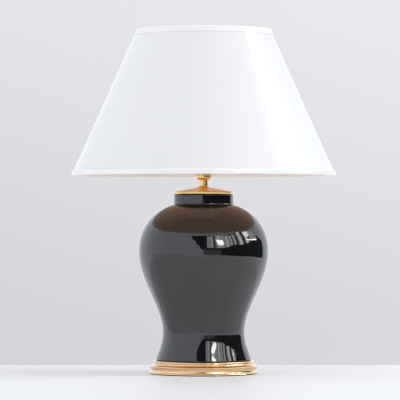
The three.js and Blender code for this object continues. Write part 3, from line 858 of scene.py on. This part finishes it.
def jar_curve(sizes, steps):
    """The jar's outside from its foot through the waist and the belly to the foot of the neck ring."""
    low, high = box_mm("jar_body")
    corner = outline_of("jar_body")
    foot_r = next(r for r, z in sorted(corner, key=lambda p: (-p[0], p[1])) if z < low.z + 5)
    ring_r = max(r for r, z in corner if z > high.z - 15)
    foot = (foot_r, low.z + 1.2)
    waist = (sizes.waist / MM, low.z + sizes.waist_rise / MM)
    belly = (outer_radius("jar_body"), low.z + sizes.belly_rise / MM)
    neck = (ring_r + 0.4, high.z - sizes.neck_ring_height / MM)
    foot_rise, belly_rise, neck_rise = waist[1] - foot[1], belly[1] - waist[1], neck[1] - belly[1]
    return [
        foot,
        *bezier(
            foot,
            (foot[0] - 6, foot[1] + 0.32 * foot_rise),
            (waist[0], waist[1] - 0.38 * foot_rise),
            waist,
            steps,
        ),
        *bezier(
            waist,
            (waist[0], waist[1] + 0.304 * belly_rise),
            (belly[0], belly[1] - 0.369 * belly_rise),
            belly,
            2 * steps,
        ),
        *bezier(
            belly,
            (belly[0], belly[1] + 0.566 * neck_rise),
            (neck[0] + 35, neck[1] - 0.086 * neck_rise),
            neck,
            2 * steps,
        ),
    ]


class LAMP_OT_jar(LampPiece):
    """The glazed jar and the gasket under it"""

    bl_idname = "lamp.jar"
    bl_label = "Jar"

    def make(self, sizes):
        low, high = box_mm("jar_body")
        coarse = outline_of("jar_body")
        curve = jar_curve(sizes, 8)
        ring_r = max(r for r, z in coarse if z > high.z - 15)
        bore_r = min(r for r, z in coarse if z > high.z - 3)
        hole_r = min(r for r, z in coarse)
        floor = next(z for r, z in sorted(coarse) if z > low.z + 1)
        wall = sizes.jar_wall / MM
        inside = [p for p in inset(curve, wall) if p[1] > floor + 3 and p[0] > bore_r + 2][::-1]
        outline = [
            (hole_r, low.z),
            (curve[0][0] - 1.4, low.z),
            *curve,
            (ring_r, curve[-1][1] + 1.4),
            (ring_r, high.z - 1.6),
            (ring_r - 1.6, high.z),
            (bore_r + 1, high.z),
            (bore_r, high.z - 1),
            (bore_r, inside[0][1] + 3),
            *inside,
            (inside[-1][0] - 4, floor),
            (hole_r, floor),
        ]
        spin("jar", "jar_body", "glaze", 0.8, FINE, outline=outline)
        spin("foot_gasket", "jar_gasket", "rubber", 0.3, FINE)


class LAMP_OT_cap(LampPiece):
    """The jar's cap, its gasket and plug, and the neck above it"""

    bl_idname = "lamp.cap"
    bl_label = "Cap and neck"

    def make(self, sizes):
        spin("cap", "vase_cap", "brass", 0.5, FINE)
        spin("rim_gasket", "cap_gasket", "rubber", 0.2, FINE)
        spin("centring_plug", "cap_centring_plug", "beech", 0.8, FINE)
        spin("collar", "neck_collar", "brass", 0.4)
        spin("neck", "neck_tube", "brass", 0.15)


class LAMP_OT_lampholder(LampPiece):
    """The cup, the shell and what they hold"""

    bl_idname = "lamp.lampholder"
    bl_label = "Lampholder"

    def make(self, sizes):
        low, high = box_mm("switch_bushing")
        level = axis_level("switch_shaft", "X")
        hole = rod_tool("X", level, 4.2, 5, high.x + 2)
        spin("cup", "socket_cup", "brass", 0.4)
        dress("cup_lock_nut", "steel", 0.35)
        spin("shell", "socket_shell", "brass", 0.3, tools=[hole])
        spin("liner", "socket_liner", "fibre", 0.2, tools=[hole])
        self.body(level)
        spin("screw_shell", "screw_shell", "nickel", 0.15)
        dress("centre_contact", "brass", 0.12)
        dress("terminal_screw_live", "brass", 0.2)
        dress("terminal_screw_neutral", "nickel", 0.2)

    def body(self, level):
        low, high = box_mm("socket_body")
        rotor_low, _ = box_mm("switch_rotor")
        screw_low, screw_high = box_mm("terminal_screw_live")
        terminal = (screw_low.z + screw_high.z) / 2
        radius = high.x
        outline = [(0, low.z), (radius, low.z), (radius, high.z), (0, high.z)]
        tools = [rod_tool("X", level, 5.1, rotor_low.x - 0.8, radius + 2)]
        for side in (1, -1):
            inner, outer = sorted((side * (radius - 2.8), side * (radius + 2)))
            tools.append(rod_tool("Y", terminal, 3.4, inner, outer))
        spin("porcelain", "socket_body", "porcelain", 0.8, outline=outline, tools=tools)


class LAMP_OT_switch(LampPiece):
    """The turn switch: rotor, shaft, bushing and fluted knob"""

    bl_idname = "lamp.switch"
    bl_label = "Switch"

    def make(self, sizes):
        dress("switch_rotor", "phenolic", 0.5)
        spin("switch_spindle", "switch_shaft", "steel", 0.3, SMALL, "X")
        spin("switch_nut", "switch_bushing", "brass", 0.25, SMALL, "X")
        low, high = box_mm("switch_knob")
        radius = (high.z - low.z) / 2
        shaft_end = box_mm("switch_shaft")[1].x + GAP
        bore = 2.3
        flutes = sizes.flutes

        def fluted(angle, r, h):
            depth = 0.7 * min(1, max(0, (r - 4) / 2))
            return r - depth * (0.5 - 0.5 * cos(flutes * angle)) ** 1.5

        outline = [
            (0, shaft_end),
            (bore, shaft_end),
            (bore, low.x),
            (radius - 0.8, low.x),
            (radius, low.x + 0.8),
            (radius, high.x - 3.2),
            (radius - 0.6, high.x - 1.6),
            (radius - 2.2, high.x - 0.3),
            (radius - 3.4, high.x),
            (0, high.x),
        ]
        spin("knob", "switch_knob", "phenolic", 0.4, 2 * FINE, "X", outline, fluted)


class LAMP_OT_carrier(LampPiece):
    """The shade carrier: its ring, clamp, bow and stud"""

    bl_idname = "lamp.carrier"
    bl_label = "Shade carrier"

    def make(self, sizes):
        spin("carrier_ring", "carrier_base_ring", "carrier_brass", 0.5)
        self.clamp(sizes)
        self.bow(sizes)
        self.stud()

    def clamp(self, sizes):
        low, high = box_mm("carrier_clamp_ring")
        inner = min(hypot(*(v.co.xy / MM)) for v in frame["nodes"]["carrier_clamp_ring"].data.vertices)
        outer = high.x
        scallops = sizes.scallops

        def scalloped(angle, r, h):
            return r - 0.7 * (0.5 - 0.5 * cos(scallops * angle)) ** 2 if r > outer - 1 else r

        outline = [
            (inner + 0.5, low.z),
            (outer - 0.4, low.z),
            (outer, low.z + 0.6),
            (outer, high.z - 1),
            (outer - 1, high.z),
            (inner + 0.5, high.z),
            (inner, high.z - 0.5),
            (inner, low.z + 0.5),
        ]
        spin("clamp", "carrier_clamp_ring", "clamp_plastic", 0.4, 2 * FINE, "Z", outline, scalloped)

    def bow(self, sizes):
        low, high = box_mm("carrier_bow")
        wire_r = sizes.wire / MM
        foot, rise = low.z, high.z - wire_r - low.z
        half = high.x - wire_r
        corners = [v.co / MM for v in frame["nodes"]["carrier_bow"].data.vertices]
        ends = sorted(corner.x for corner in corners if corner.z < low.z + 0.01)
        foot_x = (ends[-1] + next(x for x in ends if x > 0)) / 2
        shares = ((0, 0), (0, 0.035), (0.9, 0.2), (1, 0.4), (0.96, 0.6), (0.74, 0.82), (0.3, 0.985))
        side = [Vector((share * half or foot_x, 0, foot + up * rise)) for share, up in shares]
        other = [Vector((-p.x, 0, p.z)) for p in reversed(side)]
        line = curve_through([*side, Vector((0, 0, foot + rise)), *other], 12)
        made = mesh_object("bow", *wire(line, wire_r, (0, 1, 0)))
        soften(made)
        stand_for(made, "carrier_bow", "carrier_brass")

    def stud(self):
        outline = outline_of("carrier_stud")
        shank = min(r for r, z in outline if r > 0.01 and z < max(z for _, z in outline) - 1)

        def threaded(angle, r, h):
            return r - 0.18 * (0.5 - 0.5 * cos(2 * pi * h / 0.9 - angle)) if abs(r - shank) < 0.05 else r

        low = max(z for r, z in outline if r > shank + 1)
        top = max(z for r, z in outline if abs(r - shank) < 0.05)
        steps = round((top - low) * 8)
        fine = [(shank, low + (top - low) * k / steps) for k in range(1, steps)]
        full = []
        for point in outline:
            full.append(point)
            if abs(point[0] - shank) < 0.05 and abs(point[1] - low) < 0.05:
                full.extend(fine)
        spin("stud", "carrier_stud", "carrier_brass", 0.1, SMALL, outline=full, shape=threaded)


class LAMP_OT_shade(LampPiece):
    """The shade: cover, lining, rims, hems, spider and washer"""

    bl_idname = "lamp.shade"
    bl_label = "Shade"

    def make(self, sizes):
        spin("cover", "shade_cover", "shade_white", 0.1, 2 * FINE)
        spin("lining", "shade_lining", "shade_lining", 0.1, 2 * FINE)
        for rim in ("bottom", "top"):
            spin(f"rim_wire_{rim}", f"shade_ring_{rim}", "white_wire", 1.0, FINE)
        self.two_sided(spin("hem_bottom", "shade_hem_bottom", "shade_white", HEM_ROUND, 2 * FINE))
        self.seam(sizes)
        self.top_hem(sizes)
        spin("hub", "spider_hub", "white_wire", 0.5)
        spin("seat_washer", "shade_washer", "nickel", 0.25)

    def seam(self, sizes):
        """The cover's overlap, a second thickness of sheet down the back."""
        outline = outline_of("shade_cover")
        low = max((p for p in outline if p[1] < min(z for _, z in outline) + 0.1), key=lambda p: p[0])
        high = max((p for p in outline if p[1] > max(z for _, z in outline) - 0.1), key=lambda p: p[0])
        width = sizes.seam / MM
        under_hem = 9.5
        start, end = under_hem, high[1] - low[1] - under_hem
        points, faces = [], []
        rows, columns = 24, 8
        for proud in (0.02, 0.34):
            for i in range(rows + 1):
                up = start + (end - start) * i / rows
                z = low[1] + up
                r = low[0] + (high[0] - low[0]) * up / (high[1] - low[1])
                for k in range(columns + 1):
                    angle = pi / 2 + (k / columns - 0.5) * width / r
                    edge = 0.26 if k in (0, columns) and proud > 0.1 else 0
                    points.append(((r + proud - edge) * cos(angle), (r + proud - edge) * sin(angle), z))
        step, layer = columns + 1, (rows + 1) * (columns + 1)
        for i in range(rows):
            for k in range(columns):
                a = i * step + k
                faces.append((a + step, a + step + 1, a + 1, a))
                faces.append(tuple(layer + p for p in (a, a + 1, a + step + 1, a + step)))
            a, b = i * step, i * step + columns
            faces.append((a, layer + a, layer + a + step, a + step))
            faces.append((b + step, layer + b + step, layer + b, b))
        for k in range(columns):
            a, b = k, rows * step + k
            faces.append((a + 1, layer + a + 1, layer + a, a))
            faces.append((b, layer + b, layer + b + 1, b + 1))
        made = mesh_object("cover_seam", points, [f[::-1] for f in faces])
        soften(made, 50)
        made.data.materials.append(finish("shade_white"))
        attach(made, frame["nodes"]["shade_cover"]["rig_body"])

    def top_hem(self, sizes):
        wire_r = sizes.wire / MM
        low, high = box_mm("shade_ring_top")
        ring_z = (low.z + high.z) / 2
        hub_low, hub_high = box_mm("spider_hub")
        notch_w = 2 * wire_r + 1.2
        hem_low, _ = box_mm("shade_hem_top")
        coarse = outline_of("shade_hem_top")
        inner = min(r for r, _ in coarse)
        tools = []
        spokes = [name for name in sorted(frame["nodes"]) if name.startswith("spider_arm_")]
        arm_foot = hub_high.x + GAP
        ring_inner = min(r for r, _ in outline_of("shade_ring_top"))
        arm_end = ring_inner - 3 * GAP
        arm_z = (hub_low.z + hub_high.z) / 2
        line = [
            (arm_foot, arm_z),
            (arm_foot + 12, arm_z),
            (arm_end * 0.55, (arm_z + ring_z) / 2),
            (arm_end - 14, ring_z - 1),
            (arm_end, ring_z),
        ]
        for k, spoke in enumerate(spokes):
            angle = pi / 2 + 2 * pi * k / len(spokes)
            out = Vector((cos(angle), sin(angle), 0))
            across = Vector((-sin(angle), cos(angle), 0))
            notch_low = (inner - 6, -notch_w / 2, hem_low.z - 1)
            points, faces = block(notch_low, (inner + 4, notch_w / 2, ring_z + notch_w / 2))
            tools.append(([tuple(out * x + across * y + Vector((0, 0, z))) for x, y, z in points], faces))
            path = curve_through([out * r + Vector((0, 0, z)) for r, z in line], 10)
            made = mesh_object(f"spoke_{k + 1}", *wire(path, wire_r, across))
            soften(made)
            stand_for(made, spoke, "white_wire")
        self.two_sided(spin("hem_top", "shade_hem_top", "shade_white", HEM_ROUND, 2 * FINE, tools=tools))

    def two_sided(self, hem):
        """White outside, and a warmer tape on the faces inside the cover."""
        cover = outline_of("shade_cover")
        (low_r, low_z), (high_r, high_z) = (f(cover, key=lambda p: p[1]) for f in (min, max))
        hem.data.materials[0] = finish("hem_white")
        hem.data.materials.append(finish("hem_inside"))
        for face in hem.data.polygons:
            x, y, z = face.center / MM
            sheet = low_r + (high_r - low_r) * (z - low_z) / (high_z - low_z)
            face.material_index = int(hypot(x, y) < sheet - HEM_FOLD)


class LAMP_OT_finial(LampPiece):
    """The ball finial that holds the shade"""

    bl_idname = "lamp.finial"
    bl_label = "Finial"

    def make(self, sizes):
        spin("finial_ball", "finial", "brass", 0.4)


class LAMP_OT_bulb(LampPiece):
    """The bulb, from its tip contact to its dome"""

    bl_idname = "lamp.bulb"
    bl_label = "Bulb"

    def make(self, sizes):
        spin("bulb_tip", "bulb_tip_contact", "nickel", 0.7, SMALL)
        spin("bulb_glass_ring", "bulb_insulator", "phenolic", 0.5, SMALL)
        low, high = box_mm("bulb_screw_cap")
        radius, pitch, depth = high.x, sizes.thread_pitch / MM, sizes.thread_depth / MM

        def threaded(angle, r, h):
            fade = min(1, max(0, (h - low.z - 1) / 2)) * min(1, max(0, (high.z - 4 - h) / 2))
            wave = 0.5 - 0.5 * cos(2 * pi * h / pitch - angle)
            return r - depth * wave * fade if r > radius - 0.5 else r

        steps = 70
        side = [(radius, low.z + 0.8 + (high.z - low.z - 0.8) * k / steps) for k in range(steps + 1)]
        outline = [(0, low.z), (radius - 0.8, low.z), *side, (0, high.z)]
        spin("bulb_thread", "bulb_screw_cap", "nickel", 0.3, MEDIUM, outline=outline, shape=threaded)
        spin("bulb_housing_fine", "bulb_housing", "bulb_white", 0.5)
        spin("light_board", "led_board", "circuit", 0.2)
        spin("dome", "bulb_dome", "opal", 0.3)


# ---- The stage ------------------------------------------------------------------------------------------


DAYLIGHT = (0.97, 0.99, 1)
LIGHT_CENTRE = Vector((0, 0, 0.2))  # what the window faces


def emitter(name, build):
    """A stage material that only shines. build(nodes, light) gives the light its colour and strength."""
    material = bpy.data.materials.new(name)
    material.use_nodes = True
    nodes = Nodes(material.node_tree)
    nodes.tree.nodes.clear()
    output = nodes.node("OutputMaterial")
    light = nodes.node("Emission")
    nodes.feed(output.inputs["Surface"], light.outputs["Emission"])
    build(nodes, light)
    return material


def glows(colour, strength):
    """A build for an emitter of one colour and strength."""

    def build(nodes, light):
        nodes.feed_all(light, Color=(*colour, 1), Strength=strength)

    return build


def only_reflected(made, build):
    """Makes an object a shining one that is seen only in reflections."""
    made.data.materials.append(emitter(made.name, build))
    made.visible_camera = made.visible_diffuse = made.visible_shadow = False
    made.visible_transmission = made.visible_volume_scatter = False


def card(name, distance, build, *edges):
    """A reflected card, bent round the lamp. Its edges are (degrees right of the front, lowest, highest)."""
    columns = []
    for (a0, *start), (a1, *end) in zip(edges, edges[1:]):
        steps = max(1, round(abs(a1 - a0) / 4))
        for k in range(steps):
            t = k / steps
            columns.append((a0 + (a1 - a0) * t, *(p + (q - p) * t for p, q in zip(start, end))))
    columns.append(edges[-1])
    points = []
    for azimuth, low, high in columns:
        a = radians(azimuth)
        points += [(distance * sin(a) / MM, -distance * cos(a) / MM, z / MM) for z in (low, high)]
    faces = [(c, c + 2, c + 3, c + 1) for c in range(0, len(points) - 2, 2)]
    only_reflected(mesh_object(name, points, faces), build)


class LAMP_OT_stage(Operator):
    """The table, the room's light and the camera"""

    bl_idname = "lamp.stage"
    bl_label = "Stage"
    bl_options = {"REGISTER", "UNDO"}

    def execute(self, context):
        studio = context.scene.lamp_studio
        self.table(studio)
        self.room(context.scene, studio)
        self.reflections(studio)
        self.camera(context.scene, studio)
        context.scene.view_settings.view_transform = "Standard"
        return {"FINISHED"}

    def table(self, studio):
        back = studio.table_back / MM
        points, faces = block((-2500, -1500, -40), (2500, back, 0))
        slab = mesh_object("table_top", points, faces)
        edge = slab.modifiers.new("edge", "BEVEL")
        edge.width, edge.segments = 6 * MM, 4
        r = Recipe("table_paint", tuple(studio.table), 0.5)
        r.colour(r.blend(r.noise(3, 3), shaded(tuple(studio.table), 0.985), tuple(studio.table)))
        r.roughness(r.between(r.noise(40, 3), 0.45, 0.6))
        r.glow((0.9, 0.95, 1), 0.07)
        slab.data.materials.append(r.material)

    def room(self, scene, studio):
        """Even light from all round and a window on the right; the wall behind shows in its own colour."""
        world = bpy.data.worlds.new("room")
        scene.world = world
        world.use_nodes = True
        nodes = Nodes(world.node_tree)
        nodes.tree.nodes.clear()

        def background(colour, strength):
            made = nodes.feed_all(nodes.node("Background"), Color=(*colour, 1), Strength=strength)
            return made.outputs["Background"]

        def mixed(fac, *shaders):
            made = nodes.node("MixShader")
            for socket, value in zip(made.inputs, (fac, *shaders)):
                nodes.feed(socket, value)
            return made.outputs["Shader"]

        x, y, z = nodes.axes(nodes.node("TexCoord").outputs["Generated"])
        rays = nodes.node("LightPath").outputs
        front = nodes.maths("MULTIPLY", nodes.between(y, 1.52, 0.68, -1), nodes.between(x, 0.88, 0.36, -1))
        above = nodes.between(z, 0.82 * studio.room_light, 1.12 * studio.room_light, -1)
        fill = background((0.98, 0.99, 1), nodes.maths("MULTIPLY", front, above))
        mirrored = background((0.86, 0.9, 1), 1.2 * studio.room_light)
        across, up = nodes.between(x, 0.98, 1.05, -0.08, 0.08), nodes.between(z, 0.94, 1.1, -0.04, 0.07)
        wall = background(studio.backdrop, nodes.maths("MULTIPLY", across, up))
        lit = mixed(rays["Is Glossy Ray"], fill, mirrored)
        seen = mixed(rays["Is Camera Ray"], lit, wall)
        nodes.feed(nodes.node("OutputWorld").inputs["Surface"], seen)

        light = bpy.data.lights.new("window", "AREA")
        light.shape, light.size, light.size_y = "RECTANGLE", 1.3, 1.9
        light.energy, light.color = 88 * studio.window_light, (1, 0.995, 0.985)
        made = bpy.data.objects.new("window", light)
        scene.collection.objects.link(made)
        azimuth, elevation, distance = radians(85), radians(33), 5.0
        out = Vector((sin(azimuth) * cos(elevation), -cos(azimuth) * cos(elevation), sin(elevation)))
        made.location = LIGHT_CENTRE + out * distance
        made.rotation_euler = (-out).to_track_quat("-Z", "Y").to_euler()
        made.visible_glossy = made.visible_camera = False

    def reflections(self, studio):
        """What the glaze and the metal mirror: a dark doorway on the right with a curtained window in it."""
        window = studio.window_light

        def folds(nodes, light):
            """A sheer curtain's folds, dark and bright by turns across the window."""
            x, y, _ = nodes.axes(nodes.node("TexCoord").outputs["Object"])
            noise = nodes.node("TexNoise", noise_dimensions="1D")
            nodes.feed_all(noise, Scale=8, Detail=3, W=nodes.maths("ARCTAN2", x, y))
            strength = nodes.between(noise.outputs["Fac"], 0.15 * window, 4.4 * window, 0.38, 0.66)
            nodes.feed_all(light, Color=(0.97, 0.98, 1, 1), Strength=strength)

        card(
            "doorway",
            1.25,
            glows((0.04, 0.045, 0.048), 1),
            (-24, 1.0, 1.02),
            (-19, 0.86, 1.04),
            (-9, 0.52, 1.06),
            (-0.3, 0.3, 1.08),
            (-0.2, 0.09, 1.08),
            (60, 0.07, 1.1),
            (100, 0.1, 1.12),
            (106, 0.1, 0.72),
            (124, 0.12, 0.5),
        )
        card("doorway_step", 1.24, glows((0.3, 0.32, 0.34), 1), (-0.2, 0.09, 0.38), (30, 0.08, 0.26))
        card(
            "curtain",
            1.23,
            folds,
            (6, 0.43, 0.96),
            (35, 0.42, 1.0),
            (46, 0.45, 1.03),
            (64, 0.53, 1.08),
            (100, 0.56, 1.12),
            (106, 0.56, 0.72),
            (110, 0.56, 0.6),
        )
        bright = glows(DAYLIGHT, 13 * window)
        left = (21, 0.76, 0.84), (25, 0.58, 0.84), (31, 0.46, 0.79), (35, 0.57, 0.64)
        card("pane_left", 1.22, bright, *left)
        card("pane_low", 1.22, bright, (83, 0.6, 0.7), (108, 0.54, 0.6))
        card("pane_right", 1.22, glows(DAYLIGHT, 7 * window), (81.5, 0.75, 1.9), (92.5, 0.75, 1.9))
        card("pane_side", 1.22, glows(DAYLIGHT, 2.5 * window), (95, 0.75, 1.9), (96.5, 0.75, 1.9))
        self.shade_top()

    def shade_top(self):
        """Painted reflection: a warm glowing disc over the shade's open top, which only the jar's shoulder
        and the cap mirror.
        """
        _, high = box_mm("shade_ring_top")
        points, faces = turned([(0, high.z + 1.5), (high.x, high.z + 1.5)], SMALL)
        only_reflected(mesh_object("shade_top_disc", points, faces), glows((0.8, 0.58, 0.46), 1))

    def camera(self, scene, studio):
        data = bpy.data.cameras.new("camera")
        data.lens, data.sensor_width = studio.lens, 36
        data.clip_start, data.clip_end = 0.1, 100
        made = bpy.data.objects.new("camera", data)
        scene.collection.objects.link(made)
        made.location = (studio.camera_aside, -studio.camera_distance, studio.camera_height)
        aim = Vector((studio.camera_aside, 0, studio.aim_height)) - made.location
        made.rotation_euler = aim.to_track_quat("-Z", "Y").to_euler()
        scene.camera = made


class LAMP_PT_panel(Panel):
    """Lists the lamp's pieces and what may be changed"""

    bl_idname = "LAMP_PT_panel"
    bl_label = "Jar table lamp"
    bl_space_type = "VIEW_3D"
    bl_region_type = "UI"
    bl_category = "Lamp"

    def draw(self, context):
        layout = self.layout
        for piece in PIECES:
            layout.operator(piece.bl_idname)
        for group, title in (("lamp_sizes", "Sizes"), ("lamp_colours", "Colours"), ("lamp_studio", "Stage")):
            settings = getattr(context.scene, group)
            column = layout.box().column()
            column.label(text=title)
            for name in settings.__annotations__:
                column.prop(settings, name)


PIECES = (
    LAMP_OT_stage,
    LAMP_OT_underside,
    LAMP_OT_plinth,
    LAMP_OT_jar,
    LAMP_OT_cap,
    LAMP_OT_lampholder,
    LAMP_OT_switch,
    LAMP_OT_carrier,
    LAMP_OT_shade,
    LAMP_OT_finial,
    LAMP_OT_bulb,
)
GROUPS = {"lamp_sizes": LampSizes, "lamp_colours": LampColours, "lamp_studio": LampStudio}


def register():
    for kind in (*GROUPS.values(), *PIECES, LAMP_PT_panel):
        bpy.utils.register_class(kind)
    for name, kind in GROUPS.items():
        setattr(bpy.types.Scene, name, PointerProperty(type=kind))


def unregister():
    for name in GROUPS:
        delattr(bpy.types.Scene, name)
    for kind in (LAMP_PT_panel, *reversed(PIECES), *reversed(GROUPS.values())):
        bpy.utils.unregister_class(kind)


def main():
    register()
    for piece in PIECES:
        family, name = piece.bl_idname.split(".")
        getattr(getattr(bpy.ops, family), name)()


if __name__ == "__main__":
    main()
